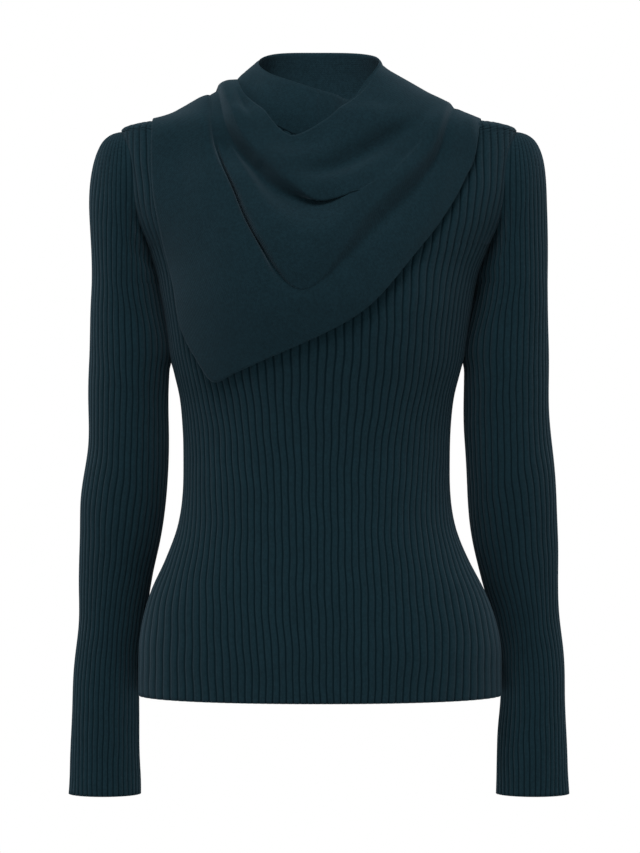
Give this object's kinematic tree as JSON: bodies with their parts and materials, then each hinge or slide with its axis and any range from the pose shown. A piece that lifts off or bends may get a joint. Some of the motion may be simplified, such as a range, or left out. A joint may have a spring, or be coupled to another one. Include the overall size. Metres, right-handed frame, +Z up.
{
  "type": "wool sweater",
  "caption": "Fitted ribbed knit sweater with long sleeves and a draped scarf collar, filled out as worn.",
  "frame": {"origin": "between the shoulders, where the wearer's shoulders hold the garment up, at the height of the knit over the inner ends of the shoulder seams", "axes": "+Z up towards the neck, -Y out of the front, +X towards the wearer's left sleeve"},
  "size_m": [0.4684, 0.245, 0.6977],
  "materials": {
    "rib_knit": "matte fine rib knit in wool",
    "plain_knit": "matte plain knit in wool, slightly fuzzy"
  },
  "bodies": {
    "root": {"body_front": "rib_knit", "body_back": "rib_knit", "sleeve_left": "rib_knit", "sleeve_right": "rib_knit", "collar": "plain_knit", "scarf_drape": "plain_knit"}
  },
  "joints": []
}
